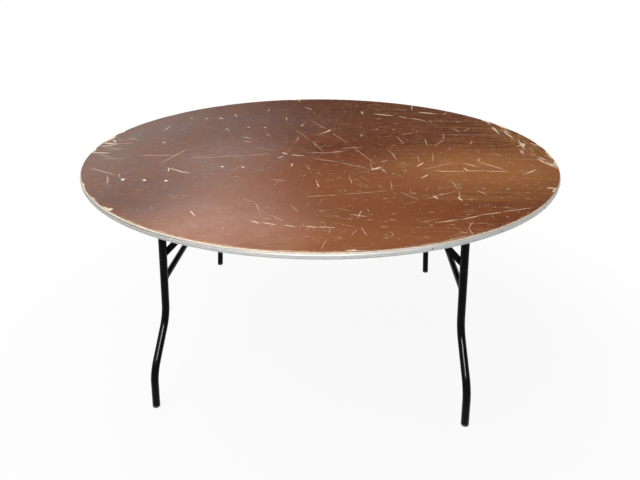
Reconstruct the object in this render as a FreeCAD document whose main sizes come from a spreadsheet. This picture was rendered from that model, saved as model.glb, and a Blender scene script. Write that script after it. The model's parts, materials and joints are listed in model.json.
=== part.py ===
import FreeCAD, Part
import math
import os

import Sketcher

# Round folding table: a plywood top with a metal edge band, carried by two hinged leg frames.
# Each frame is two kinked tube legs, a crossbar and a pivot tube. Each leg has a two-bar folding stay,
# and the upper bars of a side are welded to a brace tube that turns under the top.
# Millimetres and degrees. The origin is on the floor under the middle of the top, +Z is up,
# the leg frames stand at -X and +X, and the front of the table is -Y.

Vector = FreeCAD.Vector
Placement = FreeCAD.Placement
Rotation = FreeCAD.Rotation

# Driving dimensions: name, value, meaning
SIZES = (
    ("top_dia", 1524, "diameter of the table over the edge band"),
    ("table_height", 762, "floor to the upper face of the top"),
    ("top_thick", 18, "thickness of the plywood top"),
    ("arris", 2.5, "chamfer round the upper edge of the plywood"),
    ("band_height", 13.5, "height of the edge band, flush with the underside"),
    ("band_thick", 2.6, "thickness of the edge band at its crown"),
    ("band_lip_thick", 1.6, "thickness of the edge band at its two lips"),
    ("band_lip", 1.8, "height of each flat lip of the edge band"),
    ("band_bevel", 1.4, "height of the slope between a lip and the crown"),
    ("band_joint", 1.5, "gap where the two ends of the edge band meet"),
    ("band_fit", 0.05, "gap between the plywood and the edge band"),
    ("nail_count", 24, "nails round the edge band"),
    ("nail_dia", 2.4, "shank of an edge band nail"),
    ("nail_length", 18, "shank length of an edge band nail"),
    ("nail_head_dia", 5.5, "head of an edge band nail"),
    ("nail_head_height", 0.9, "crown of a nail's head"),
    ("foot_spread", 1015, "left to right distance between the feet, on the floor"),
    ("leg_spacing", 680, "front to rear distance between the upper legs"),
    ("splay", 5, "outward lean of the leg frames"),
    ("tube_dia", 25, "outer diameter of the legs, pivot tubes and brace tubes"),
    ("tube_wall", 1.5, "wall of the legs, pivot tubes and brace tubes"),
    ("kink_out", 138, "outward step of a leg at its kink"),
    ("kink_top_height", 273, "height of the upper bend of the kink"),
    ("kink_bottom_height", 142, "height of the lower bend of the kink"),
    ("bend_radius", 95, "centre line radius of the bends"),
    ("crossbar_height", 414, "height of the crossbar"),
    ("crossbar_dia", 20, "outer diameter of the crossbar"),
    ("crossbar_wall", 1.5, "wall of the crossbar"),
    ("weld_gap", 0.1, "root gap at a welded joint"),
    ("pivot_stub", 25, "pivot tube beyond the outer side of a leg"),
    ("plug_wall_fit", 0.1, "gap between a plug and the bore of its tube"),
    ("plug_spigot", 18, "length of a plug inside its tube"),
    ("plug_head", 3, "thickness of a pivot tube plug outside the tube"),
    ("plug_round", 2, "rounded edge of a plug"),
    ("foot_reach", 9, "length of a foot outside its leg, to the floor"),
    ("plate_thick", 3, "thickness of a hinge or brace plate"),
    ("hinge_gap", 0.4, "gap between a plate and the tube that turns under it"),
    ("saddle_thick", 2.5, "thickness of a saddle strap"),
    ("saddle_width", 20, "width of a saddle strap along its tube"),
    ("saddle_ear", 34, "length of each ear of a saddle strap"),
    ("saddle_fit", 0.08, "radial clearance of a tube in its saddles"),
    ("saddle_side_gap", 1, "gap between a leg and the saddle outside it"),
    ("plate_margin", 12, "end of a hinge plate beyond its outermost rivet"),
    ("brace_saddle_spacing", 464, "front to rear distance between the saddles of a brace tube"),
    ("board_rivet_dia", 5, "shank of a rivet through the top"),
    ("board_head_dia", 10, "countersunk head of a rivet through the top"),
    ("board_head_height", 2.5, "height of the countersunk head"),
    ("board_head_recess", 0.15, "depth of the head below the face of the top"),
    ("board_tail_dia", 10, "domed tail of a rivet through the top"),
    ("board_tail_height", 3, "height of the domed tail"),
    ("nail_fit", 0.1, "gap round a nail in its hole"),
    ("stay_root_height", 500, "height of the stay's rivet in the leg"),
    ("brace_reach", 198, "hinge axis to the axis of the brace tube"),
    ("stay_width", 20, "width of a stay bar"),
    ("stay_thick", 5, "thickness of a stay bar"),
    ("stay_side_gap", 0.5, "side gap between a stay bar and its neighbour"),
    ("elbow_gap", 4, "gap between the two bars of a stay"),
    ("elbow_play", 0.4, "side play at the open elbow"),
    ("rivet_dia", 8, "shank of a stay rivet"),
    ("rivet_fit", 0.08, "radial clearance of a bar on its rivet"),
    ("rivet_seat", 0.05, "gap round and under a fixed rivet or plug"),
    ("rivet_head_dia", 15, "head of a stay rivet"),
    ("rivet_head_height", 3, "height of a stay rivet's head"),
    ("collar_dia", 18, "spacing collar at the elbow"),
    ("overrun", 5, "how far every cut runs past the solid"),
)

SIDES = ("left", "right")
ENDS = ("front", "rear")

doc = FreeCAD.newDocument("round_folding_table")
sheet = doc.addObject("Spreadsheet::Sheet", "sizes")
for row, (alias, value, meaning) in enumerate(SIZES, start=1):
    sheet.set(f"A{row}", meaning)
    sheet.set(f"B{row}", str(value))
    sheet.setAlias(f"B{row}", alias)
doc.recompute()

# Sizes worked out from the driving dimensions, written as sheet expressions
UNDERSIDE = "(sizes.table_height - sizes.top_thick)"
BOARD_RADIUS = "(sizes.top_dia / 2 - sizes.band_thick - sizes.band_fit)"
TUBE_RADIUS = "(sizes.tube_dia / 2)"
TUBE_BORE = "(sizes.tube_dia / 2 - sizes.tube_wall)"
LEG_Y = "(sizes.leg_spacing / 2)"
HINGE_DROP = f"(sizes.plate_thick + sizes.hinge_gap + {TUBE_RADIUS})"
HINGE_Z = f"({UNDERSIDE} - {HINGE_DROP})"
HINGE_X = f"(sizes.foot_spread / 2 - {HINGE_Z} * tan(sizes.splay))"
SADDLE_BORE = f"({TUBE_RADIUS} + sizes.saddle_fit)"
SADDLE_OUTER = f"({SADDLE_BORE} + sizes.saddle_thick)"
SADDLE_TOP = f"({HINGE_DROP} - sizes.plate_thick)"
SADDLE_HALF = f"({SADDLE_OUTER} + sizes.saddle_ear)"
SADDLE_Y = f"({LEG_Y} + {TUBE_RADIUS} + sizes.saddle_side_gap + sizes.saddle_width / 2)"
EAR_RIVET_X = f"({SADDLE_OUTER} + sizes.saddle_ear / 2)"
PLATE_RIVET_X = f"(3 * {EAR_RIVET_X})"
EAR_RIVETS = (f"-{EAR_RIVET_X}", EAR_RIVET_X)
OUTER_RIVET = f"-{PLATE_RIVET_X}"
BOARD_RIVET = "(sizes.board_rivet_dia / 2)"
BOARD_RIVET_HOLE = f"({BOARD_RIVET} + sizes.rivet_seat)"
HEAD_FLARE = "((sizes.board_head_dia - sizes.board_rivet_dia) / 2)"
NAIL_BORE = "(sizes.nail_dia / 2 + sizes.nail_fit)"
RIVET_RADIUS = "(sizes.rivet_dia / 2)"
RIVET_RUN = f"({RIVET_RADIUS} + sizes.rivet_fit)"
RIVET_HOLE = f"({RIVET_RADIUS} + sizes.rivet_seat)"


def down_leg(height):
    """Distance along a leg from the hinge axis to a height above the floor."""
    return f"(({HINGE_Z} - {height}) / cos(sizes.splay))"


FLOOR_DOWN = down_leg("0")
STAY_DOWN = down_leg("sizes.stay_root_height")
CROSSBAR_DOWN = down_leg("sizes.crossbar_height")
KINK_TOP_DOWN = down_leg("sizes.kink_top_height")
KINK_BOTTOM_DOWN = down_leg("sizes.kink_bottom_height")
KINK_TURN = f"atan(sizes.kink_out / ({KINK_BOTTOM_DOWN} - {KINK_TOP_DOWN}))"
BEND_SETBACK = f"(sizes.bend_radius * tan({KINK_TURN} / 2))"
LEG_END_DOWN = f"({FLOOR_DOWN} - sizes.foot_reach)"

# The two bars of a stay are straight in line when the leg stands, and lie one on the other along the leg
# when it is folded flat, which gives their lengths.
STAY_RUN = f"(sizes.brace_reach + {STAY_DOWN} * sin(sizes.splay))"
STAY_RISE = f"({STAY_DOWN} * cos(sizes.splay))"
STAY_SPAN = f"sqrt({STAY_RUN} * {STAY_RUN} + {STAY_RISE} * {STAY_RISE})"
LOWER_BAR = f"(({STAY_SPAN} + {STAY_DOWN} - sizes.brace_reach) / 2)"
UPPER_BAR = f"(({STAY_SPAN} - {STAY_DOWN} + sizes.brace_reach) / 2)"
STAY_ANGLE = f"atan({STAY_RISE} / {STAY_RUN})"

# Distances from a leg's axis towards the middle of the table, to each layer of a stay
LOWER_BAR_MID = f"({TUBE_RADIUS} + sizes.stay_side_gap + sizes.stay_thick / 2)"
UPPER_BAR_MID = f"({LOWER_BAR_MID} + sizes.stay_thick + sizes.elbow_gap)"
BRACE_END = f"({UPPER_BAR_MID} + sizes.stay_thick / 2 + sizes.weld_gap)"


def number(expression):
    """Value of a sheet expression as a plain number."""
    result = sheet.evalExpression(expression)
    return float(getattr(result, "Value", result))


# Sketch and feature helpers

def new_body(label):
    body = doc.addObject("PartDesign::Body", label)
    body.Label = label
    return body


def new_sketch(body, role, offset=None):
    """Sketch on one of the body's own planes, moved along the plane's normal by an expression."""
    plane = next(item for item in body.Origin.OriginFeatures if item.Role == role)
    sketch = body.newObject("Sketcher::SketchObject", "sketch")
    sketch.AttachmentSupport = (plane, [""])
    sketch.MapMode = "FlatFace"
    if offset:
        sketch.setExpression("AttachmentOffset.Base.z", offset)
    return sketch


def dimension(sketch, expression, kind, *where):
    index = sketch.addConstraint(Sketcher.Constraint(kind, *where, number(expression)))
    sketch.setExpression(f"Constraints[{index}]", expression)


def place_point(sketch, geometry, point, x, y):
    """Fix a point of a sketch by two expressions, or on an axis where the expression is None."""
    for kind, axis, expression in (("DistanceX", -2, x), ("DistanceY", -1, y)):
        if expression is None:
            sketch.addConstraint(Sketcher.Constraint("PointOnObject", geometry, point, axis))
        else:
            dimension(sketch, expression, kind, -1, 1, geometry, point)


def circle(sketch, radius, x=None, y=None):
    centre = Vector(number(x or "0"), number(y or "0"), 0)
    geometry = sketch.addGeometry(Part.Circle(centre, Vector(0, 0, 1), number(radius)), False)
    dimension(sketch, radius, "Radius", geometry)
    place_point(sketch, geometry, 3, x, y)


def arc_between(start, end, radius):
    """Arc that leaves start, bulges to the right of the way to end, and arrives there."""
    chord = end - start
    left = Vector(-chord.y, chord.x, 0).normalize()
    height = math.sqrt(radius ** 2 - (chord.Length / 2) ** 2)
    centre = (start + end) * 0.5 + left * height
    angles = [math.atan2(point.y - centre.y, point.x - centre.x) for point in (start, end)]
    return Part.ArcOfCircle(Part.Circle(centre, Vector(0, 0, 1), radius), *angles)


def outline(sketch, corners):
    """Closed outline, anticlockwise. A corner is (x, y), or (x, y, radius) where an arc leaves it."""
    points = [Vector(number(corner[0] or "0"), number(corner[1] or "0"), 0) for corner in corners]
    edges = []
    for index, corner in enumerate(corners):
        start = points[index]
        end = points[(index + 1) % len(points)]
        if len(corner) > 2:
            edges.append(sketch.addGeometry(arc_between(start, end, number(corner[2])), False))
        else:
            edges.append(sketch.addGeometry(Part.LineSegment(start, end), False))
    for index, corner in enumerate(corners):
        previous = edges[index - 1]
        sketch.addConstraint(Sketcher.Constraint("Coincident", previous, 2, edges[index], 1))
        place_point(sketch, edges[index], 1, corner[0], corner[1])
        if len(corner) > 2:
            dimension(sketch, corner[2], "Radius", edges[index])


def rectangle(sketch, x_low, x_high, y_low, y_high):
    outline(sketch, ((x_low, y_low), (x_high, y_low), (x_high, y_high), (x_low, y_high)))


def pad(body, sketch, length, symmetric=False):
    feature = body.newObject("PartDesign::Pad", "pad")
    feature.Profile = sketch
    feature.SideType = "Symmetric" if symmetric else "One side"
    feature.setExpression("Length", length)
    doc.recompute()


def cut_through(body, sketch):
    """Cut the sketch right through the body, both ways, and test that it took something away."""
    before = body.Shape.Volume
    feature = body.newObject("PartDesign::Pocket", "cut")
    feature.Profile = sketch
    feature.SideType = "Symmetric"
    feature.Type = "ThroughAll"
    doc.recompute()
    if not body.Shape.Volume < before:
        raise RuntimeError(f"{body.Label}: a cut took nothing away")


def turn(body, sketch, angle="360"):
    """Revolve a sketch drawn on the XZ plane about the Z axis."""
    feature = body.newObject("PartDesign::Revolution", "turned")
    feature.Profile = sketch
    axis = next(item for item in body.Origin.OriginFeatures if item.Role == "Z_Axis")
    feature.ReferenceAxis = (axis, [""])
    feature.setExpression("Angle", angle)
    doc.recompute()


def group_of(label, template, places):
    """One object of several separate solids: copies of a fastener at the given placements."""
    template_shape = template.Shape
    group = doc.addObject("Part::Feature", label)
    group.Label = label
    group.Shape = Part.makeCompound([template_shape.transformed(place.toMatrix()) for place in places])
    return group


def bored(label, base, template, places):
    """The base with a hole cut at each placement, by copies of a template."""
    cutters = group_of(label + "_cutters", template, places)
    cut = doc.addObject("Part::Cut", label)
    cut.Label = label
    cut.Base = base
    cut.Tool = cutters
    doc.recompute()
    if not cut.Shape.Volume < base.Shape.Volume:
        raise RuntimeError(f"{label}: the holes took nothing away")
    return cut


def drill(label, radius, length):
    """Cylinder along +Z from the origin, to bore a hole with."""
    cylinder = doc.addObject("Part::Cylinder", label)
    cylinder.setExpression("Radius", radius)
    cylinder.setExpression("Height", length)
    doc.recompute()
    return cylinder


# Where things stand

def on_side(side, place):
    """The left side's placement, or the same turned half round for the right side."""
    if side == "left":
        return place
    return Placement(Vector(), Rotation(Vector(0, 0, 1), 180)) * place


def toward_rear(side, end):
    """Sign of the local Y axis for a front or rear piece. The right side is turned half round."""
    sign = -1 if end == "front" else 1
    return sign if side == "left" else -sign


def frame_place(side):
    """Leg frame: its own Z axis runs down the legs from the hinge axis, leaning out by the splay."""
    lean = Rotation(Vector(0, 1, 0), number("sizes.splay"))
    return on_side(side, Placement(Vector(-number(HINGE_X), 0, number(HINGE_Z)), lean))


def hinge_place(side, y=0.0, x=0.0, z=0.0, turned=0.0):
    """Under the top: at the hinge axis, x towards the middle of the table."""
    base = Vector(x - number(HINGE_X), y, number(HINGE_Z) + z)
    return on_side(side, Placement(base, Rotation(Vector(0, 0, 1), turned)))


def across(sign):
    """Turn a piece made along +Z to point from a leg towards the middle of the table."""
    return Rotation(Vector(1, 0, 0), 90 * sign)


# The top

def board_rivet_corners(bottom, spare):
    """Foot of the shank, neck and rim of the head of a rivet through the top, wider all round by the spare."""
    face = "(sizes.top_thick - sizes.board_head_recess)"
    shank = f"({BOARD_RIVET} + {spare})"
    return (shank, bottom), (shank, f"({face} - sizes.board_head_height)"), (f"({shank} + {HEAD_FLARE})", face)


def make_board_rivet(label, grip):
    """Rivet through the top: its grip below the plane z = 0, its shank and countersunk head above it."""
    body = new_body(label)
    sketch = new_sketch(body, "XZ_Plane")
    tail = "(sizes.board_tail_dia / 2)"
    height = "sizes.board_tail_height"
    dome = f"(({tail} * {tail} + {height} * {height}) / (2 * {height}))"
    shank, neck, head = board_rivet_corners(f"-{grip}", "0")
    outline(sketch, (
        (None, f"-({grip} + {height})", dome),
        (tail, f"-{grip}"),
        shank,
        neck,
        head,
        (None, head[1]),
    ))
    turn(body, sketch)
    return body


def make_board_rivet_hole():
    """Countersunk hole through the top for a board rivet, a little wider than the rivet all round."""
    body = new_body("board_rivet_hole")
    sketch = new_sketch(body, "XZ_Plane")
    shank, neck, head = board_rivet_corners("-sizes.overrun", "sizes.rivet_seat")
    above = "(sizes.top_thick + sizes.overrun)"
    outline(sketch, ((None, shank[1]), shank, neck, head, (head[0], above), (None, above)))
    turn(body, sketch)
    return body


def make_nail():
    """Round head nail, its head above the plane z = 0 and its shank below it."""
    body = new_body("nail")
    sketch = new_sketch(body, "XZ_Plane")
    radius = "(sizes.nail_dia / 2)"
    head = "(sizes.nail_head_dia / 2)"
    crown = "sizes.nail_head_height"
    dome = f"(({head} * {head} + {crown} * {crown}) / (2 * {crown}))"
    outline(sketch, (
        (None, "-sizes.nail_length"),
        (radius, f"({radius} - sizes.nail_length)"),
        (radius, None),
        (head, None, dome),
        (None, crown),
    ))
    turn(body, sketch)
    return body


def nail_places():
    """Nails round the middle of the band, pointing at the table's axis, none of them at the band's joint."""
    count = int(number("sizes.nail_count"))
    radius = number("sizes.top_dia / 2 + sizes.nail_fit")
    height = number(f"{UNDERSIDE} + sizes.band_height / 2")
    places = []
    for index in range(count):
        spin = Rotation(Vector(0, 0, 1), 360 * (index + 0.5) / count)
        outward = spin * Rotation(Vector(0, 1, 0), 90)
        places.append(Placement(spin.multVec(Vector(radius, 0, height)), outward))
    return places


def rivet_places(x_places, y):
    """Board rivets on both sides, front and rear, at some distances from the hinge axis."""
    places = []
    for side in SIDES:
        for end in ENDS:
            for x in x_places:
                across_y = toward_rear(side, end) * number(y)
                places.append(hinge_place(side, across_y, number(x), number(HINGE_DROP)))
    return places


def make_table_top(rivets, nails):
    """Round plywood board with a chamfered upper edge and a hole for every rivet and nail."""
    board = new_body("board")
    sketch = new_sketch(board, "XY_Plane", UNDERSIDE)
    circle(sketch, BOARD_RADIUS)
    pad(board, sketch, "sizes.top_thick")
    disc = board.Tip
    half_way = number(f"{UNDERSIDE} + sizes.top_thick / 2")
    edges = enumerate(disc.Shape.Edges, start=1)
    upper_rim = [f"Edge{index}" for index, edge in edges if edge.BoundBox.ZMin > half_way]
    arris = board.newObject("PartDesign::Chamfer", "arris")
    arris.Base = (disc, upper_rim)
    arris.setExpression("Size", "sizes.arris")
    doc.recompute()
    nail_hole = drill("nail_hole", NAIL_BORE, "sizes.nail_length + sizes.nail_fit")
    back = Placement(Vector(), Rotation(Vector(1, 0, 0), 180))
    drilled = bored("drilled_board", board, make_board_rivet_hole(), rivets)
    bored("table_top", drilled, nail_hole, [place * back for place in nails])


def make_edge_band(nails):
    """Metal strip with a raised middle between two flat lips, bent round the board."""
    band = new_body("strip")
    sketch = new_sketch(band, "XZ_Plane")
    outer = "(sizes.top_dia / 2)"
    inner = f"({outer} - sizes.band_thick)"
    lip = f"({inner} + sizes.band_lip_thick)"
    bottom = UNDERSIDE
    top = f"({UNDERSIDE} + sizes.band_height)"
    outline(sketch, (
        (inner, bottom),
        (lip, bottom),
        (lip, f"({bottom} + sizes.band_lip)"),
        (outer, f"({bottom} + sizes.band_lip + sizes.band_bevel)"),
        (outer, f"({top} - sizes.band_lip - sizes.band_bevel)"),
        (lip, f"({top} - sizes.band_lip)"),
        (lip, top),
        (inner, top),
    ))
    turn(band, sketch, "360 - 360 * sizes.band_joint / (pi * sizes.top_dia)")
    band.Placement = Placement(Vector(), Rotation(Vector(0, 0, 1), 90))
    nail_hole = drill("band_hole", NAIL_BORE, "sizes.band_thick + sizes.overrun")
    back = Placement(Vector(0, 0, number("sizes.overrun / 2")), Rotation(Vector(1, 0, 0), 180))
    bored("edge_band", band, nail_hole, [place * back for place in nails])


# The hinges under the top

def rivet_pattern(body, x_places):
    sketch = new_sketch(body, "XY_Plane")
    for x in x_places:
        circle(sketch, BOARD_RIVET_HOLE, x)
    return sketch


def make_plate(label, outer, x_places, place):
    """Flat plate between a tube and the wood, from an outer end to the inner end of the saddle's ear."""
    body = new_body(label)
    sketch = new_sketch(body, "XY_Plane", SADDLE_TOP)
    half = "sizes.saddle_width / 2"
    rectangle(sketch, f"-{outer}", SADDLE_HALF, f"-{half}", half)
    pad(body, sketch, "sizes.plate_thick")
    cut_through(body, rivet_pattern(body, x_places))
    body.Placement = place


def make_saddle(label, place):
    """Strap that holds a tube up against its plate, with an ear each side."""
    body = new_body(label)
    ears = new_sketch(body, "XZ_Plane")
    rectangle(ears, f"-{SADDLE_HALF}", SADDLE_HALF, f"({SADDLE_TOP} - sizes.saddle_thick)", SADDLE_TOP)
    pad(body, ears, "sizes.saddle_width", symmetric=True)
    cheeks = new_sketch(body, "XZ_Plane")
    rectangle(cheeks, f"-{SADDLE_OUTER}", SADDLE_OUTER, None, SADDLE_TOP)
    pad(body, cheeks, "sizes.saddle_width", symmetric=True)
    bowl = new_sketch(body, "XZ_Plane")
    circle(bowl, SADDLE_OUTER)
    pad(body, bowl, "sizes.saddle_width", symmetric=True)
    bore = new_sketch(body, "XZ_Plane")
    circle(bore, SADDLE_BORE)
    cut_through(body, bore)
    mouth = new_sketch(body, "XZ_Plane")
    rectangle(mouth, f"-{SADDLE_BORE}", SADDLE_BORE, None, f"({SADDLE_OUTER} + sizes.overrun)")
    cut_through(body, mouth)
    cut_through(body, rivet_pattern(body, EAR_RIVETS))
    body.Placement = place


def make_hinge(side, end):
    """Plate and saddle outside a leg. The plate runs on outwards to a rivet of its own."""
    place = hinge_place(side, toward_rear(side, end) * number(SADDLE_Y))
    outer = f"({PLATE_RIVET_X} + sizes.plate_margin)"
    make_plate(f"{side}_{end}_hinge_plate", outer, (*EAR_RIVETS, OUTER_RIVET), place)
    make_saddle(f"{side}_{end}_saddle", place)


def make_brace_bearing(side, end):
    """Plate and saddle that carry the brace tube."""
    y = toward_rear(side, end) * number("sizes.brace_saddle_spacing / 2")
    place = hinge_place(side, y, number("sizes.brace_reach"))
    make_plate(f"{side}_{end}_brace_plate", SADDLE_HALF, EAR_RIVETS, place)
    make_saddle(f"{side}_{end}_brace_saddle", place)


# The leg frames

def make_pivot_tube(side):
    """Tube along the top of a leg frame, which turns in the saddles."""
    body = new_body(f"{side}_pivot_tube")
    sketch = new_sketch(body, "XZ_Plane")
    circle(sketch, TUBE_RADIUS)
    circle(sketch, TUBE_BORE)
    pad(body, sketch, "sizes.leg_spacing + sizes.tube_dia + 2 * sizes.pivot_stub", symmetric=True)
    body.Placement = frame_place(side)


def make_plug():
    """Round plug for an open tube end: a head outside, a spigot above it inside the tube."""
    body = new_body("tube_plug")
    sketch = new_sketch(body, "XZ_Plane")
    spigot = f"({TUBE_BORE} - sizes.plug_wall_fit)"
    outline(sketch, (
        (None, "-sizes.plug_head"),
        (f"({TUBE_RADIUS} - sizes.plug_round)", "-sizes.plug_head", "sizes.plug_round"),
        (TUBE_RADIUS, "(sizes.plug_round - sizes.plug_head)"),
        (TUBE_RADIUS, None),
        (spigot, None),
        (spigot, "sizes.plug_spigot"),
        (None, "sizes.plug_spigot"),
    ))
    turn(body, sketch)
    return body


def make_pivot_plugs(side, plug):
    """Plugs in the two open ends of a pivot tube."""
    reach = number(f"{LEG_Y} + {TUBE_RADIUS} + sizes.pivot_stub + sizes.rivet_seat")
    places = []
    for sign in (-1, 1):
        places.append(frame_place(side) * Placement(Vector(0, sign * reach, 0), across(sign)))
    group_of(f"{side}_pivot_plugs", plug, places)


def leg_path(body, sign):
    """Centre line of a leg: down, out through the kink between two equal bends, and down again."""
    sketch = new_sketch(body, "YZ_Plane")
    turn_angle = math.radians(number(KINK_TURN))
    out = number("sizes.kink_out")
    radius = number("sizes.bend_radius")
    start_down = number(f"{KINK_TOP_DOWN} - {BEND_SETBACK}")
    end_down = number(f"{KINK_BOTTOM_DOWN} + {BEND_SETBACK}")
    side_step = radius * (1 - math.cos(turn_angle))
    fall = radius * math.sin(turn_angle)
    points = (
        Vector(0, 0, 0),
        Vector(0, -start_down, 0),
        Vector(sign * side_step, -start_down - fall, 0),
        Vector(sign * (out - side_step), fall - end_down, 0),
        Vector(sign * out, -end_down, 0),
        Vector(sign * out, -number(LEG_END_DOWN), 0),
    )
    # An arc runs anticlockwise, so on one side of the table it starts where the leg leaves it.
    first_bend = (points[1], points[2]) if sign > 0 else (points[2], points[1])
    second_bend = (points[4], points[3]) if sign > 0 else (points[3], points[4])
    geometry = (
        Part.LineSegment(points[0], points[1]),
        arc_between(*first_bend, radius),
        Part.LineSegment(points[2], points[3]),
        arc_between(*second_bend, radius),
        Part.LineSegment(points[4], points[5]),
    )
    upper, bend_one, kink, bend_two, foot = [sketch.addGeometry(item, False) for item in geometry]
    enter, leave = (1, 2) if sign > 0 else (2, 1)
    sketch.addConstraint(Sketcher.Constraint("Coincident", upper, 1, -1, 1))
    sketch.addConstraint(Sketcher.Constraint("Vertical", upper))
    sketch.addConstraint(Sketcher.Constraint("Vertical", foot))
    sketch.addConstraint(Sketcher.Constraint("Tangent", upper, 2, bend_one, enter))
    sketch.addConstraint(Sketcher.Constraint("Tangent", bend_one, leave, kink, 1))
    sketch.addConstraint(Sketcher.Constraint("Tangent", kink, 2, bend_two, leave))
    sketch.addConstraint(Sketcher.Constraint("Tangent", bend_two, enter, foot, 1))
    dimension(sketch, "sizes.bend_radius", "Radius", bend_one)
    dimension(sketch, "sizes.bend_radius", "Radius", bend_two)
    dimension(sketch, f"-({KINK_TOP_DOWN} - {BEND_SETBACK})", "DistanceY", -1, 1, upper, 2)
    dimension(sketch, f"{sign} * sizes.kink_out", "DistanceX", -1, 1, foot, 2)
    dimension(sketch, f"-{LEG_END_DOWN}", "DistanceY", -1, 1, foot, 2)
    dimension(sketch, f"-({KINK_BOTTOM_DOWN} + {BEND_SETBACK})", "DistanceY", -1, 1, foot, 1)
    return sketch


def make_leg(side, end):
    """Kinked tube leg, coped at the top to sit under the pivot tube, with a hole for the stay's rivet."""
    sign = toward_rear(side, end)
    body = new_body(f"{side}_{end}_leg")
    section = new_sketch(body, "XY_Plane")
    circle(section, TUBE_RADIUS)
    circle(section, TUBE_BORE)
    path = leg_path(body, sign)
    doc.recompute()
    pipe = body.newObject("PartDesign::AdditivePipe", "tube")
    pipe.Profile = section
    pipe.Spine = (path, [f"Edge{index}" for index in range(1, len(path.Geometry) + 1)])
    doc.recompute()
    cope = new_sketch(body, "XZ_Plane")
    circle(cope, f"({TUBE_RADIUS} + sizes.weld_gap)")
    cut_through(body, cope)
    hole = new_sketch(body, "XZ_Plane")
    circle(hole, RIVET_HOLE, None, f"-{STAY_DOWN}")
    cut_through(body, hole)
    body.Placement = frame_place(side) * Placement(Vector(0, sign * number(LEG_Y), 0), Rotation())


def make_crossbar(side):
    """Tube between the two legs of a frame, coped to fit against them."""
    body = new_body(f"{side}_crossbar")
    sketch = new_sketch(body, "XZ_Plane")
    circle(sketch, "sizes.crossbar_dia / 2", None, f"-{CROSSBAR_DOWN}")
    circle(sketch, "sizes.crossbar_dia / 2 - sizes.crossbar_wall", None, f"-{CROSSBAR_DOWN}")
    pad(body, sketch, "sizes.leg_spacing", symmetric=True)
    for y_sign in ("-", ""):
        cope = new_sketch(body, "XY_Plane")
        circle(cope, f"({TUBE_RADIUS} + sizes.weld_gap)", None, f"{y_sign}{LEG_Y}")
        cut_through(body, cope)
    body.Placement = frame_place(side)


def make_foot(side, end):
    """Plastic foot in the end of a leg, cut off level with the floor."""
    sign = toward_rear(side, end)
    body = new_body(f"{side}_{end}_foot")
    sketch = new_sketch(body, "XZ_Plane")
    spigot = f"({TUBE_BORE} - sizes.plug_wall_fit)"
    lean_drop = f"({TUBE_RADIUS} * tan(sizes.splay))"
    tube_end = f"-({LEG_END_DOWN} + sizes.rivet_seat)"
    bottom = f"-({FLOOR_DOWN} + {lean_drop})"
    outline(sketch, (
        (None, bottom),
        (f"({TUBE_RADIUS} - sizes.plug_round)", bottom, "sizes.plug_round"),
        (TUBE_RADIUS, f"({bottom} + sizes.plug_round)"),
        (TUBE_RADIUS, tube_end),
        (spigot, tube_end),
        (spigot, f"({tube_end} + sizes.plug_spigot)"),
        (None, f"({tube_end} + sizes.plug_spigot)"),
    ))
    turn(body, sketch)
    floor = new_sketch(body, "XZ_Plane")
    slope = "(sizes.tube_dia * tan(sizes.splay))"
    deep = f"-({FLOOR_DOWN} + sizes.tube_dia)"
    outline(floor, (
        ("-sizes.tube_dia", deep),
        ("sizes.tube_dia", deep),
        ("sizes.tube_dia", f"-({FLOOR_DOWN} - {slope})"),
        ("-sizes.tube_dia", f"-({FLOOR_DOWN} + {slope})"),
    ))
    cut_through(body, floor)
    y = sign * number(f"{LEG_Y} + sizes.kink_out")
    body.Placement = frame_place(side) * Placement(Vector(0, y, 0), Rotation())


# The folding stays

def make_rivet(label, grip):
    """Rivet with a domed head each end: its grip runs up +Z from the plane z = 0."""
    body = new_body(label)
    sketch = new_sketch(body, "XZ_Plane")
    head = "(sizes.rivet_head_dia / 2)"
    height = "sizes.rivet_head_height"
    dome = f"(({head} * {head} + {height} * {height}) / (2 * {height}))"
    outline(sketch, (
        (None, f"-{height}", dome),
        (head, None),
        (RIVET_RADIUS, None),
        (RIVET_RADIUS, grip),
        (head, grip, dome),
        (None, f"({grip} + {height})"),
    ))
    turn(body, sketch)
    return body


def make_stay_rivets(side):
    """Rivets through the legs of a frame, on which the lower bars turn."""
    grip = "(sizes.tube_dia + 2 * sizes.rivet_seat + 2 * sizes.stay_side_gap + sizes.stay_thick)"
    rivet = make_rivet(f"{side}_stay_rivet", grip)
    places = []
    for sign in (-1, 1):
        y = sign * number(f"{LEG_Y} + {TUBE_RADIUS} + sizes.rivet_seat")
        place = Placement(Vector(0, y, -number(STAY_DOWN)), across(sign))
        places.append(frame_place(side) * place)
    group_of(f"{side}_stay_rivets", rivet, places)


def make_bar(label, length, root_radius, root_hole=None):
    """Flat bar with round ends: its root at the origin, with or without a hole, its elbow hole along +X."""
    body = new_body(label)
    half = "sizes.stay_width / 2"
    flat = new_sketch(body, "XZ_Plane")
    rectangle(flat, None, length, f"-{half}", half)
    pad(body, flat, "sizes.stay_thick", symmetric=True)
    for x, radius in ((None, root_radius), (length, half)):
        eye = new_sketch(body, "XZ_Plane")
        circle(eye, radius, x)
        pad(body, eye, "sizes.stay_thick", symmetric=True)
    for x, radius in ((None, root_hole), (length, RIVET_HOLE)):
        if radius:
            hole = new_sketch(body, "XZ_Plane")
            circle(hole, radius, x)
            cut_through(body, hole)
    return body


def bar_place(side, end, middle, x, z, pitch):
    """A stay bar in its layer beside the leg, from x, z at the hinge axis, turned in the fold's plane."""
    y = toward_rear(side, end) * number(f"{LEG_Y} - {middle}")
    base = Vector(x - number(HINGE_X), y, number(HINGE_Z) + z)
    return on_side(side, Placement(base, Rotation(Vector(0, 1, 0), pitch)))


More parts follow.
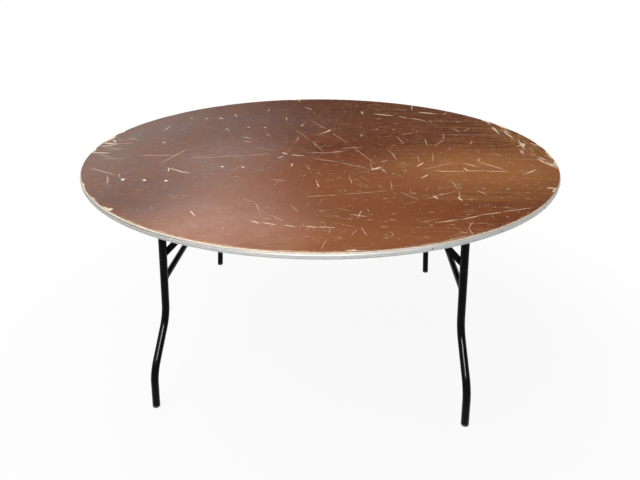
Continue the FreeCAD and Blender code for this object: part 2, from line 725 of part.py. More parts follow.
def make_stay(side, end):
    """Lower bar from the leg, upper bar from the brace tube, and the two halves of the elbow's rivet."""
    name = f"{side}_{end}"
    sign = toward_rear(side, end)
    angle = number(STAY_ANGLE)
    root_x = -number(f"{STAY_DOWN} * sin(sizes.splay)")
    root_z = -number(STAY_RISE)
    lower = make_bar(f"{name}_lower_stay", LOWER_BAR, "sizes.stay_width / 2", RIVET_RUN)
    lower.Placement = bar_place(side, end, LOWER_BAR_MID, root_x, root_z, -angle)
    upper = make_bar(f"{name}_upper_stay", UPPER_BAR, TUBE_RADIUS)
    upper.Placement = bar_place(side, end, UPPER_BAR_MID, number("sizes.brace_reach"), 0, 180 - angle)

    elbow_x = root_x + number(LOWER_BAR) * math.cos(math.radians(angle)) - number(HINGE_X)
    elbow_z = root_z + number(LOWER_BAR) * math.sin(math.radians(angle)) + number(HINGE_Z)

    def elbow_place(middle):
        y = sign * number(f"{LEG_Y} - {middle}")
        return on_side(side, Placement(Vector(elbow_x, y, elbow_z), across(sign)))

    tail = new_body(f"{name}_elbow_rivet_tail")
    tail_disc = new_sketch(tail, "XY_Plane")
    circle(tail_disc, RIVET_RADIUS)
    pad(tail, tail_disc, "sizes.stay_thick", symmetric=True)
    tail.Placement = elbow_place(LOWER_BAR_MID)

    head = new_body(f"{name}_elbow_rivet_head")
    section = new_sketch(head, "XZ_Plane")
    half = "(sizes.stay_thick / 2 + sizes.rivet_seat)"
    collar = "(sizes.collar_dia / 2)"
    collar_end = f"-({half} + sizes.elbow_gap - sizes.elbow_play - sizes.rivet_seat)"
    head_radius = "(sizes.rivet_head_dia / 2)"
    height = "sizes.rivet_head_height"
    dome = f"(({head_radius} * {head_radius} + {height} * {height}) / (2 * {height}))"
    outline(section, (
        (None, collar_end),
        (collar, collar_end),
        (collar, f"-{half}"),
        (RIVET_RADIUS, f"-{half}"),
        (RIVET_RADIUS, half),
        (head_radius, half, dome),
        (None, f"({half} + {height})"),
    ))
    turn(head, section)
    head.Placement = elbow_place(UPPER_BAR_MID)


def make_brace_tube(side):
    """Tube that turns under the top, with an upper bar welded over each end."""
    body = new_body(f"{side}_brace_tube")
    sketch = new_sketch(body, "XZ_Plane")
    circle(sketch, TUBE_RADIUS)
    circle(sketch, TUBE_BORE)
    pad(body, sketch, f"sizes.leg_spacing - 2 * {BRACE_END}", symmetric=True)
    body.Placement = hinge_place(side, 0, number("sizes.brace_reach"))


# Build everything

ear_rivets = rivet_places(EAR_RIVETS, SADDLE_Y)
plate_rivets = rivet_places((OUTER_RIVET,), SADDLE_Y)
brace_x = [f"(sizes.brace_reach + {x})" for x in EAR_RIVETS]
brace_rivets = rivet_places(brace_x, "sizes.brace_saddle_spacing / 2")
band_nails = nail_places()
ear_rivet = make_board_rivet("ear_rivet", "(sizes.plate_thick + sizes.saddle_thick)")
plate_rivet = make_board_rivet("plate_rivet", "sizes.plate_thick")
make_table_top(ear_rivets + plate_rivets + brace_rivets, band_nails)
make_edge_band(band_nails)
group_of("band_nails", make_nail(), band_nails)
group_of("hinge_rivets", ear_rivet, ear_rivets)
group_of("hinge_plate_rivets", plate_rivet, plate_rivets)
group_of("brace_rivets", ear_rivet, brace_rivets)
tube_plug = make_plug()
nodes = ["table_top", "edge_band", "band_nails", "hinge_rivets", "hinge_plate_rivets", "brace_rivets"]
for side in SIDES:
    make_pivot_tube(side)
    make_pivot_plugs(side, tube_plug)
    make_crossbar(side)
    make_stay_rivets(side)
    make_brace_tube(side)
    nodes += [f"{side}_{piece}" for piece in (
        "pivot_tube", "pivot_plugs", "crossbar", "stay_rivets", "brace_tube",
    )]
    for end in ENDS:
        make_hinge(side, end)
        make_brace_bearing(side, end)
        make_leg(side, end)
        make_foot(side, end)
        make_stay(side, end)
        nodes += [f"{side}_{end}_{piece}" for piece in (
            "hinge_plate", "saddle", "brace_plate", "brace_saddle", "leg", "foot", "lower_stay", "upper_stay",
            "elbow_rivet_head", "elbow_rivet_tail",
        )]
doc.recompute()

# Check every object and every sub-part, then write one file for each

for item in doc.Objects:
    if {"Invalid", "Error"} & set(item.State):
        raise RuntimeError(f"{item.Label} failed: {item.State}")
shapes = {}
for node in nodes:
    shape = doc.getObjectsByLabel(node)[0].Shape
    if shape.isNull() or not shape.isValid():
        raise RuntimeError(f"{node} has no valid shape")
    shapes[node] = shape

os.makedirs("parts", exist_ok=True)
for node, shape in shapes.items():
    shape.exportStep(f"parts/{node}.step")
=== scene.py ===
import json
import math
from functools import reduce
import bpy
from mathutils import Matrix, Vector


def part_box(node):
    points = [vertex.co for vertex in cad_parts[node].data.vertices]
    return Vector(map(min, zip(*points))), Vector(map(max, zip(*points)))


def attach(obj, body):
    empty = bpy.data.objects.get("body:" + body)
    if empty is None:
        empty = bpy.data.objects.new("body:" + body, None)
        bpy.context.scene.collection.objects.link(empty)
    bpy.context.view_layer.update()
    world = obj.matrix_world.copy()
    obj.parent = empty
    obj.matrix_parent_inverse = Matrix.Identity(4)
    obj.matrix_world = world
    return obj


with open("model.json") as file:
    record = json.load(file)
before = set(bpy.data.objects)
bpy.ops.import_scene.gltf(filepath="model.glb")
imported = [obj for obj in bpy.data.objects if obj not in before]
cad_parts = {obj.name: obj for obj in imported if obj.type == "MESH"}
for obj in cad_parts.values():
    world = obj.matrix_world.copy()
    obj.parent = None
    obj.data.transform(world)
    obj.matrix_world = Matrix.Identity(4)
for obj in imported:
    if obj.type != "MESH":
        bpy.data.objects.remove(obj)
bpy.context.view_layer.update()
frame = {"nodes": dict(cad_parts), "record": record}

from types import SimpleNamespace

import bmesh
import bpy
from mathutils import Matrix, Vector

bl_info = {
    "name": "Round folding table",
    "version": (1, 0, 0),
    "blender": (4, 5, 0),
    "location": "3D View > Sidebar > Table",
    "description": "Finishes and fittings of a worn round folding table",
    "category": "Object",
}

SIDES = ("left", "right")
NODES = frame["nodes"]
SLOT_OF = {row["node"]: row["material_slot"] for row in frame["record"]["subparts"]}
FACE_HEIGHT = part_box("table_top")[1].z
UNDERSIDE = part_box("table_top")[0].z
BOARD_RADIUS = (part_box("table_top")[1].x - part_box("table_top")[0].x) / 2
BAND_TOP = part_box("edge_band")[1].z
BAND_RADIUS = (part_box("edge_band")[1].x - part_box("edge_band")[0].x) / 2

# Colours of the board beside those in its settings.
GOLDEN_STREAK = (0.52, 0.23, 0.08)
RUBBED_RIM = (0.80, 0.54, 0.26)
SCRATCH_EDGE = (0.66, 0.33, 0.16)
WOOD_SHADE = (0.78, 0.53, 0.35)
PLY_PALE = (0.62, 0.42, 0.25)
PLY_DARK = (0.40, 0.24, 0.13)
PLY_GRIME = (0.30, 0.19, 0.12)
UNDER_BROWN = (0.115, 0.046, 0.024)
UNDER_DARK = (0.070, 0.029, 0.017)
# Colours of the metal and plastic beside those in their settings.
BAND_PALE = (0.74, 0.735, 0.71)
BAND_SCRAPED = (0.22, 0.215, 0.20)
BAND_LEFT_DARKER = (0.30, 0.305, 0.275)
PAINT_RUBBED = (0.045, 0.043, 0.041)
PAINT_MARKED = (0.10, 0.097, 0.094)
HINGE_DULL = (0.34, 0.34, 0.335)
HINGE_GRIMY_SHADED = (0.44, 0.44, 0.44)
FASTENER_BRIGHT = (0.64, 0.60, 0.54)
FASTENER_DULL = (0.38, 0.35, 0.31)
FASTENER_GRIMY_SHADED = (0.23, 0.17, 0.095)
PLASTIC_PALE = (0.03, 0.03, 0.031)
PLASTIC_RUBBED = (0.11, 0.105, 0.10)
FLOOR_GREY = (0.86, 0.86, 0.86, 1.0)
WHITE = (1.0, 1.0, 1.0, 1.0)

# Sizes of stretched textures in metres: length, width and height.
DIRT_SIZE = (0.034, 0.017, 1.0)
PORE_SIZE = (0.05, 0.0016, 1.0)
RIM_STREAK_SIZE = (0.040, 0.0070, 1.0)
BAND_STREAK_SIZE = (0.09, 0.0011, 1.0)
BAND_SCRAPE_SIZE = (0.02, 0.0035, 1.0)
# Slant of the streaks in the rubbed place by the rim, and how far scratches wander from a straight line.
RIM_STREAK_SLANT = 0.2
WANDER = 0.0055
# Tilt of the scrapes on the band to its length.
BAND_SCRAPE_TILT = 0.25
# Heights of each finish's relief.
BOARD_RELIEF = 0.0003
BAND_RELIEF = 0.0003
PAINT_RELIEF = 0.00008
ZINC_RELIEF = 0.0001
PLASTIC_RELIEF = 0.00012
# Heights between which one finish begins and is whole: on the board, and on the feet where they rub.
FACE_LACQUER = (FACE_HEIGHT - 0.0012, FACE_HEIGHT - 0.0004)
ARRIS_LACQUER = (FACE_HEIGHT - 0.0022, FACE_HEIGHT - 0.0014)
ARRIS_WOOD = (BAND_TOP - 0.002, BAND_TOP)
UNDER_STAIN = (UNDERSIDE + 0.0006, UNDERSIDE + 0.0002)
FOOT_RUBBED = (0.006, 0.0005)
# Distances in from the worn rim at which bare wood begins and is whole.
RIM_BARE = (0.0022, 0.0008)
# How uneven the lacquer's edges are, by the mottle and by the fine noise.
RIM_UNEVEN = (0.006, 0.003)
ARRIS_UNEVEN = (0.0024, 0.0016)
# Places from left to right at which a finish begins and is whole.
GRAIN_SHOWS = (-0.45, 0.15)
GOLD_SHOWS = (0.05, 0.45)
SCRATCHES_SHOW = (-0.30, 0.25)
SHEEN_SHOWS = (0.0, -0.55)
BAND_DARKENS_LEFT = (-0.10, -0.60)
BAND_DIRT_SHOWS = (0.1, -0.5)
GRIME_AND_SHADE_SHOWS = (-0.15, 0.40)
# Half widths of a groove where its dirt begins and is whole, and how uneven the groove's line is.
GROOVE_DIRT = (0.0018, 0.0005)
GROOVE_UNEVEN = 0.002
# Lengthwise grooves of the band, where dirt gathers: height and strength.
BAND_GROOVES = (
    (BAND_TOP - 0.0022, 1.0),
    ((BAND_TOP + UNDERSIDE) / 2, 0.6),
    (UNDERSIDE + 0.0022, 1.0),
)

# Weld beads: points on a ring, sides of a section, share and step of the ripple, how much thinner a bead is
# on the outer side of a leg, and the size of a brace's bead beside a frame's.
RING_STEPS = 72
BEAD_SIDES = 8
RIPPLE = 0.15
RIPPLE_STEP = 2.1
OUTER_THINNING = 0.6
BRACE_BEAD = 0.8

# Stage: sides of the round floor, how far it lies under the feet, how white its shadow is, between which
# distances from the middle the shadow goes, and the place that the lamps face.
FLOOR_SIDES = 96
FLOOR_DROP = 0.0006
SHADOW_WHITE = 0.91
SHADOW_FADES = (0.7, 1.9)
LAMP_TARGET = Vector((0.0, 0.0, 0.6))

# Scratches worn into the face: both ends (x, y) and the width in metres.
DEEP_SCRATCHES = (
    ((-0.437, -0.258), (-0.364, -0.299), 0.0050),
    ((-0.439, -0.258), (-0.433, -0.283), 0.0045),
    ((-0.743, -0.122), (-0.690, -0.119), 0.0070),
    ((-0.748, -0.008), (-0.704, -0.020), 0.0110),
    ((-0.742, -0.046), (-0.712, -0.036), 0.0080),
    ((-0.735, 0.030), (-0.716, 0.006), 0.0060),
    ((-0.074, -0.102), (-0.040, -0.110), 0.0075),
    ((-0.107, -0.082), (-0.096, -0.094), 0.0070),
    ((-0.116, -0.135), (-0.101, -0.120), 0.0050),
    ((-0.067, -0.194), (-0.066, -0.212), 0.0045),
    ((-0.283, -0.569), (-0.263, -0.598), 0.0042),
    ((-0.122, -0.614), (-0.100, -0.626), 0.0040),
    ((-0.092, -0.622), (-0.062, -0.632), 0.0040),
    ((-0.040, -0.630), (-0.012, -0.640), 0.0033),
    ((0.012, -0.634), (0.036, -0.640), 0.0036),
    ((0.040, -0.634), (0.080, -0.638), 0.0032),
    ((0.313, -0.594), (0.374, -0.573), 0.0029),
    ((0.374, -0.573), (0.430, -0.543), 0.0029),
    ((0.430, -0.543), (0.482, -0.522), 0.0025),
    ((0.482, -0.522), (0.568, -0.487), 0.0023),
    ((0.319, -0.188), (0.337, -0.160), 0.0070),
    ((0.319, -0.291), (0.339, -0.266), 0.0055),
    ((0.183, -0.226), (0.199, -0.215), 0.0110),
    ((0.455, -0.202), (0.461, -0.221), 0.0055),
    ((0.466, -0.155), (0.496, -0.186), 0.0055),
    ((0.629, -0.231), (0.664, -0.203), 0.0055),
    ((0.362, -0.230), (0.452, -0.231), 0.0040),
    ((0.452, -0.225), (0.510, -0.218), 0.0042),
    ((0.510, -0.220), (0.578, -0.224), 0.0042),
    ((0.510, -0.134), (0.576, -0.216), 0.0040),
    ((0.396, -0.438), (0.400, -0.452), 0.0055),
    ((0.331, -0.428), (0.339, -0.444), 0.0055),
    ((0.022, -0.366), (0.027, -0.379), 0.0050),
    ((0.014, 0.168), (0.041, 0.212), 0.0072),
    ((0.010, 0.156), (0.000, 0.150), 0.0042),
    ((0.225, 0.474), (0.282, 0.452), 0.0120),
    ((0.320, 0.436), (0.342, 0.416), 0.0066),
    ((0.360, 0.412), (0.408, 0.376), 0.0060),
    ((0.418, 0.512), (0.462, 0.496), 0.0150),
    ((-0.126, 0.742), (-0.118, 0.705), 0.0042),
    ((0.164, 0.512), (0.168, 0.478), 0.0066),
    ((-0.275, 0.098), (-0.240, 0.076), 0.0042),
    ((-0.262, 0.044), (-0.234, 0.036), 0.0040),
    ((-0.198, 0.140), (-0.180, 0.120), 0.0034),
    ((-0.548, 0.014), (-0.538, 0.006), 0.0054),
    ((-0.427, 0.384), (-0.417, 0.356), 0.0036),
    ((-0.374, 0.440), (-0.358, 0.400), 0.0034),
    ((-0.078, 0.258), (-0.068, 0.290), 0.0048),
    ((0.651, 0.365), (0.659, 0.334), 0.0060),
    ((0.655, 0.289), (0.656, 0.231), 0.0052),
    ((0.661, 0.282), (0.656, 0.190), 0.0058),
    ((0.648, 0.262), (0.664, 0.248), 0.0040),
    ((0.685, 0.233), (0.689, 0.140), 0.0078),
    ((0.689, 0.261), (0.696, 0.220), 0.0050),
    ((0.702, 0.103), (0.692, 0.019), 0.0078),
    ((0.680, 0.042), (0.712, 0.067), 0.0060),
    ((0.706, 0.070), (0.700, 0.040), 0.0090),
    ((0.675, -0.004), (0.672, -0.047), 0.0050),
    ((0.684, -0.012), (0.668, -0.030), 0.0040),
    ((0.733, 0.080), (0.744, 0.051), 0.0050),
    ((0.703, -0.097), (0.709, -0.126), 0.0060),
    ((0.715, -0.135), (0.732, -0.181), 0.0088),
    ((0.703, -0.117), (0.725, -0.158), 0.0060),
    ((0.722, -0.128), (0.742, -0.168), 0.0070),
    ((0.712, -0.075), (0.724, -0.110), 0.0050),
    ((0.652, -0.350), (0.662, -0.350), 0.0085),
)
# Thinner and fainter scratches, in the same form.
FINE_SCRATCHES = (
    ((-0.435, -0.050), (-0.480, -0.222), 0.0045),
    ((-0.055, 0.372), (0.028, 0.215), 0.0032),
    ((0.040, 0.185), (0.112, 0.026), 0.0034),
    ((0.112, 0.026), (0.203, -0.208), 0.0030),
    ((-0.094, 0.216), (-0.022, 0.056), 0.0032),
    ((-0.022, 0.056), (0.028, -0.068), 0.0026),
    ((0.238, -0.014), (0.264, -0.142), 0.0032),
    ((0.383, -0.050), (0.369, -0.152), 0.0032),
    ((0.331, -0.078), (0.327, -0.158), 0.0028),
    ((0.177, -0.155), (0.181, -0.250), 0.0032),
    ((0.198, -0.190), (0.222, -0.262), 0.0028),
    ((0.523, -0.098), (0.511, -0.136), 0.0034),
    ((0.000, -0.454), (0.082, -0.437), 0.0042),
    ((0.082, -0.437), (0.228, -0.396), 0.0036),
    ((0.227, -0.310), (0.228, -0.402), 0.0026),
    ((0.109, -0.276), (0.121, -0.362), 0.0030),
    ((0.016, -0.322), (0.026, -0.384), 0.0028),
    ((0.246, -0.405), (0.291, -0.462), 0.0034),
    ((0.399, -0.300), (0.405, -0.384), 0.0026),
    ((0.405, -0.384), (0.398, -0.452), 0.0026),
    ((0.400, -0.386), (0.310, -0.449), 0.0030),
    ((0.453, -0.379), (0.474, -0.415), 0.0044),
    ((0.402, -0.578), (0.383, -0.622), 0.0030),
    ((0.383, -0.622), (0.388, -0.655), 0.0032),
    ((0.137, -0.632), (0.151, -0.675), 0.0026),
    ((0.064, -0.698), (0.050, -0.748), 0.0028),
    ((0.067, -0.644), (0.066, -0.668), 0.0026),
    ((0.143, -0.532), (0.129, -0.588), 0.0024),
    ((0.112, -0.560), (0.156, -0.572), 0.0044),
    ((-0.170, -0.478), (-0.130, -0.506), 0.0026),
    ((-0.130, -0.506), (-0.112, -0.556), 0.0024),
    ((-0.041, -0.512), (-0.012, -0.555), 0.0026),
    ((-0.078, -0.578), (-0.042, -0.614), 0.0026),
    ((-0.184, -0.652), (-0.178, -0.668), 0.0030),
    ((-0.021, -0.206), (-0.006, -0.250), 0.0028),
    ((0.284, 0.140), (0.298, 0.038), 0.0036),
    ((0.296, 0.156), (0.356, 0.196), 0.0050),
    ((0.356, 0.196), (0.368, 0.214), 0.0040),
    ((0.455, 0.190), (0.444, 0.106), 0.0032),
    ((0.442, 0.100), (0.398, 0.020), 0.0044),
    ((0.378, 0.110), (0.376, 0.024), 0.0034),
    ((0.500, 0.462), (0.534, 0.556), 0.0048),
    ((0.388, 0.648), (0.382, 0.545), 0.0050),
    ((0.534, 0.218), (0.570, 0.270), 0.0050),
    ((-0.590, 0.242), (-0.592, 0.160), 0.0046),
    ((-0.368, 0.222), (-0.340, 0.170), 0.0040),
    ((-0.245, 0.560), (-0.236, 0.480), 0.0040),
    ((-0.148, 0.410), (-0.142, 0.340), 0.0050),
    ((-0.074, 0.115), (-0.074, 0.052), 0.0045),
    ((0.155, 0.160), (0.153, 0.128), 0.0050),
    ((0.537, 0.090), (0.527, 0.058), 0.0050),
)
# Broad rubbed marks, whiter than the lacquer round them but not worn through.
SCUFFS = (
    ((-0.585, -0.140), (-0.430, -0.128), 0.0099),
    ((-0.395, -0.150), (-0.330, -0.142), 0.0105),
    ((-0.335, -0.142), (-0.228, -0.117), 0.0093),
    ((-0.230, -0.118), (-0.150, -0.094), 0.0093),
    ((-0.030, -0.078), (0.056, -0.070), 0.0124),
    ((0.050, -0.070), (0.100, -0.045), 0.0112),
    ((0.090, -0.022), (0.150, -0.004), 0.0124),
    ((0.000, -0.136), (0.072, -0.164), 0.0087),
    ((0.066, -0.160), (0.172, -0.226), 0.0081),
    ((-0.205, -0.026), (-0.130, -0.066), 0.0062),
    ((0.333, -0.218), (0.436, -0.150), 0.0081),
    ((0.205, -0.160), (0.232, -0.140), 0.0074),
    ((-0.685, -0.268), (-0.575, -0.326), 0.0081),
    ((-0.600, -0.330), (-0.568, -0.402), 0.0074),
    ((-0.572, -0.310), (-0.556, -0.345), 0.0056),
    ((-0.556, -0.345), (-0.530, -0.360), 0.0050),
    ((-0.745, 0.020), (-0.660, 0.044), 0.0070),
    ((-0.752, -0.020), (-0.640, -0.004), 0.0080),
    ((-0.735, -0.055), (-0.660, -0.078), 0.0070),
    ((-0.725, -0.096), (-0.640, -0.070), 0.0060),
    ((-0.720, -0.140), (-0.650, -0.168), 0.0060),
    ((-0.700, -0.182), (-0.600, -0.175), 0.0060),
    ((-0.690, 0.062), (-0.640, 0.034), 0.0070),
    ((0.420, 0.170), (0.690, 0.176), 0.0074),
    ((0.310, 0.560), (0.352, 0.552), 0.0136),
    ((-0.080, 0.580), (-0.055, 0.545), 0.0149),
    ((0.500, 0.270), (0.520, 0.205), 0.0087),
    ((-0.110, -0.335), (-0.076, -0.338), 0.0087),
    ((0.430, 0.380), (0.440, 0.350), 0.0074),
)
# Layers of short scratches strewn at random: the way they lie, the length and width of a cell, the share of
# cells that are kept, and how far a scratch reaches in its cell.
STREWN = (
    (0.45, 0.42, 0.0085, 0.40, 0.090),
    (1.18, 0.30, 0.0130, 0.40, 0.070),
    (2.15, 0.40, 0.0085, 0.40, 0.090),
    (2.75, 0.34, 0.0080, 0.40, 0.090),
    (0.10, 0.30, 0.0075, 0.40, 0.090),
    (0.90, 0.10, 0.0090, 0.42, 0.110),
    (2.40, 0.09, 0.0100, 0.42, 0.110),
    (1.75, 0.07, 0.0085, 0.42, 0.120),
    (0.05, 0.12, 0.0110, 0.45, 0.110),
    (3.05, 0.09, 0.0120, 0.40, 0.100),
    (3.10, 0.075, 0.0095, 0.50, 0.125),
)
# Small round specks strewn at random, and marks on the black paint, each as one such layer.
SPECKS = (0.3, 0.030, 0.026, 0.42, 0.055)
PAINT_MARKS = (0.4, 0.12, 0.05, 0.3, 0.05)
# Broad patches of colour on the face: middle, turn, half length and half width, colour and strength. The
# first three rows are painted light: a pool of light at the front, then glare at the front left and at the
# left middle. The fifth and sixth are painted sheen, the grey-mauve reflection at the left and the back
# left. The rest are paler, darker and golden places in the lacquer.
FADES_AND_PAINTED_LIGHT = (
    # Painted light: a pool of light at the front, glare at the front left and glare at the left middle.
    ((-0.05, -0.70), 0.0, 0.42, 0.11, (0.50, 0.190, 0.075), 0.75),
    ((-0.19, -0.60), 0.0, 0.17, 0.19, (0.58, 0.340, 0.270), 0.80),
    ((-0.27, -0.20), 0.0, 0.17, 0.28, (0.40, 0.275, 0.240), 0.66),
    ((-0.47, -0.50), 0.0, 0.14, 0.20, (0.105, 0.060, 0.046), 0.55),
    # Painted sheen: the grey-mauve reflection at the left and the back left.
    ((-0.66, 0.06), 0.0, 0.15, 0.42, (0.205, 0.150, 0.130), 0.75),
    ((-0.34, 0.34), 0.0, 0.36, 0.26, (0.190, 0.135, 0.125), 0.70),
    ((0.25, -0.46), 0.0, 0.19, 0.20, (0.255, 0.070, 0.020), 0.60),
    ((0.53, -0.20), 0.0, 0.25, 0.17, (0.600, 0.240, 0.080), 0.74),
    ((0.08, 0.60), 0.0, 0.62, 0.20, (0.100, 0.040, 0.016), 0.60),
    ((0.36, 0.28), 0.0, 0.36, 0.24, (0.145, 0.042, 0.012), 0.65),
    ((0.05, -0.38), 0.0, 0.28, 0.20, (0.375, 0.138, 0.062), 0.64),
    ((0.69, 0.12), 1.74, 0.26, 0.05, (0.34, 0.135, 0.038), 0.60),
)
# Place by the rim that is rubbed into streaks: middle, turn, half length and half width.
RIM_RUB_TURN = 1.69
RIM_RUB = ((0.712, 0.085), RIM_RUB_TURN, 0.28, 0.036)
# Places round the rim where the lacquer has chipped away: angle in degrees, spread along the rim and depth.
CHIPS = (
    (176.5, 0.046, 0.016),
    (170.0, 0.026, 0.008),
    (188.0, 0.034, 0.009),
    (229.5, 0.009, 0.012),
    (228.4, 0.018, 0.006),
    (222.0, 0.022, 0.005),
    (213.0, 0.030, 0.005),
    (279.0, 0.016, 0.007),
    (331.0, 0.022, 0.006),
    (349.5, 0.030, 0.012),
    (356.0, 0.040, 0.009),
    (4.0, 0.030, 0.008),
    (22.0, 0.060, 0.012),
    (30.0, 0.026, 0.010),
    (101.0, 0.024, 0.008),
    (128.0, 0.022, 0.006),
    (147.0, 0.034, 0.006),
    (58.0, 0.028, 0.007),
)


class TopFinish(bpy.types.PropertyGroup):
    lacquer: bpy.props.FloatVectorProperty(
        name="Lacquer", description="Brown of the face", subtype="COLOR", default=(0.240, 0.068, 0.024))
    lacquer_dark: bpy.props.FloatVectorProperty(
        name="Dark lacquer", description="Darker streaks and blotches", subtype="COLOR",
        default=(0.085, 0.024, 0.009))
    bare_wood: bpy.props.FloatVectorProperty(
        name="Bare wood", description="Wood that shows in deep scratches and chips", subtype="COLOR",
        default=(0.95, 0.78, 0.58))
    rubbed: bpy.props.FloatVectorProperty(
        name="Rubbed lacquer", description="Colour of broad scuffs", subtype="COLOR",
        default=(0.62, 0.44, 0.34))
    grain_length: bpy.props.FloatProperty(
        name="Grain length", description="Length of the grain's streaks", default=0.34, unit="LENGTH")
    grain_width: bpy.props.FloatProperty(
        name="Grain width", description="Width of the grain's streaks", default=0.011, unit="LENGTH")
    rim_wear: bpy.props.FloatProperty(
        name="Rim wear", description="How far the lacquer is worn in from the rim", default=0.0006,
        unit="LENGTH", precision=4)
    sheen: bpy.props.FloatProperty(
        name="Sheen", description="Weight of the gloss left at the left end", default=0.34,
        min=0.0, max=1.0)
    ply_count: bpy.props.IntProperty(
        name="Plies", description="Layers of veneer in the board's edge", default=13, min=3)


class MetalFinish(bpy.types.PropertyGroup):
    band: bpy.props.FloatVectorProperty(
        name="Edge band", description="Dull aluminium of the edge band", subtype="COLOR",
        default=(0.54, 0.535, 0.51))
    grime: bpy.props.FloatVectorProperty(
        name="Grime", description="Dirt in the band's grooves", subtype="COLOR", default=(0.10, 0.09, 0.08))
    zinc: bpy.props.FloatVectorProperty(
        name="Zinc", description="Plated hinges", subtype="COLOR", default=(0.52, 0.53, 0.55))
    paint: bpy.props.FloatVectorProperty(
        name="Black paint", description="Gloss paint on the leg frames", subtype="COLOR",
        default=(0.0016, 0.0016, 0.0018))
    weld: bpy.props.FloatProperty(
        name="Weld", description="Radius of a weld bead", default=0.0019, unit="LENGTH", precision=4)
    plastic: bpy.props.FloatVectorProperty(
        name="Plastic", description="Feet and tube plugs", subtype="COLOR", default=(0.016, 0.016, 0.017))


class StageSettings(bpy.types.PropertyGroup):
    camera_place: bpy.props.FloatVectorProperty(
        name="Camera", description="Where the camera stands", subtype="TRANSLATION", unit="LENGTH",
        default=(0.09216, -1.6975, 1.27458))
    camera_yaw: bpy.props.FloatProperty(
        name="Yaw", description="Turn of the camera to the right", unit="ROTATION", default=-0.09044)
    camera_pitch: bpy.props.FloatProperty(
        name="Pitch", description="How far the camera looks down", unit="ROTATION", default=0.47549)
    camera_roll: bpy.props.FloatProperty(
        name="Roll", description="Tilt of the camera", unit="ROTATION", default=-0.00881)
    focal_length: bpy.props.FloatProperty(
        name="Lens", description="Focal length on a 36 mm sensor, in millimetres", default=28.598)
    camera_shift: bpy.props.FloatProperty(
        name="Shift", description="Sideways shift of the lens", default=0.0316)
    floor_size: bpy.props.FloatProperty(
        name="Floor", description="Radius of the floor", default=14.0, unit="LENGTH")
    key_power: bpy.props.FloatProperty(
        name="Key", description="Power of the soft lamp at the back left, in watts", default=26.0,
        unit="POWER")
    fill_power: bpy.props.FloatProperty(
        name="Fill", description="Power of the soft lamp at the front left, in watts", default=46.0,
        unit="POWER")
    glint_power: bpy.props.FloatProperty(
        name="Glint", description="Power of the lamp that only lights gloss, in watts", default=200.0,
        unit="POWER")
    surround: bpy.props.FloatProperty(
        name="Surround", description="Strength of the light from all round", default=0.42)


# Materials

class Field:
    """A value in a material's nodes. Sums on it are written as Python and become Math nodes."""

    def __init__(self, tree, socket=None):
        self.tree = tree
        self.socket = socket

    def node(self, kind, settings=None, sockets=None, output=0):
        """A new node: its type, its settings, the values or links of its sockets, and the output wanted."""
        made = self.tree.nodes.new("ShaderNode" + kind)
        for name, value in (settings or {}).items():
            setattr(made, name, value)
        for key, value in (sockets or {}).items():
            if isinstance(value, Field):
                self.tree.links.new(value.socket, made.inputs[key])
            else:
                made.inputs[key].default_value = value
        return Field(self.tree, None if output is None else made.outputs[output])

    def also(self, output):
        """Another output of the same node."""
        return Field(self.tree, self.socket.node.outputs[output])

    def math(self, operation, *others):
        """A Math node on this field and others."""
        return self.node("Math", {"operation": operation}, dict(enumerate((self, *others))))

    def __add__(self, other):
        return self.math("ADD", other)

    __radd__ = __add__

    def __sub__(self, other):
        return self.math("SUBTRACT", other)

    def __rsub__(self, other):
        return self.node("Math", {"operation": "SUBTRACT"}, {0: other, 1: self})

    def __mul__(self, other):
        return self.math("MULTIPLY", other)

    __rmul__ = __mul__

    def __truediv__(self, other):
        return self.math("DIVIDE", other)

    def smooth(self, low, high):
        """0 below low, 1 above high, and a smooth step between them. Falls where low is the larger."""
        falls = low > high
        return self.node("MapRange", {"interpolation_type": "SMOOTHSTEP"}, {
            "Value": self, "From Min": min(low, high), "From Max": max(low, high),
            "To Min": 1.0 if falls else 0.0, "To Max": 0.0 if falls else 1.0})


def largest(*fields):
    """The largest of some fields, place by place."""
    return reduce(lambda best, field: best.math("MAXIMUM", field), fields)


def mix(factor, first, second):
    """First colour to second colour, by a value from 0 to 1."""
    colours = [c if isinstance(c, Field) else (*c, 1.0) for c in (first, second)]
    return factor.node("Mix", {"data_type": "RGBA"}, {0: factor, 6: colours[0], 7: colours[1]}, 2)


def new_material(name):
    """An empty material, its shader, and a field on the piece's own coordinates."""
    material = bpy.data.materials.new(name)
    material.use_nodes = True
    shader = material.node_tree.nodes["Principled BSDF"]
    start = Field(material.node_tree)
    return material, shader, start.node("TexCoord", output="Object")


def feed(shader, **sockets):
    """Link fields to the shader's sockets, or set plain numbers on them."""
    for name, value in sockets.items():
        socket = shader.inputs[name.replace("_", " ").title()]
        if isinstance(value, Field):
            value.tree.links.new(value.socket, socket)
        else:
            socket.default_value = value


def noise(place, scale, detail=3.0, roughness=0.5):
    """Noise from 0 to 1 over some coordinates."""
    return place.node("TexNoise", None, {
        "Vector": place, "Scale": scale, "Detail": detail, "Roughness": roughness})


def stretched(place, size, turn=0.0):
    """Coordinates in which one unit is one size, turned about the upright axis."""
    return place.node("Mapping", {"vector_type": "TEXTURE"}, {
        "Vector": place, "Rotation": (0.0, 0.0, turn), "Scale": size})


def bump(height, distance, strength):
    """The normals of a relief."""
    return height.node("Bump", None, {"Height": height, "Distance": distance, "Strength": strength})


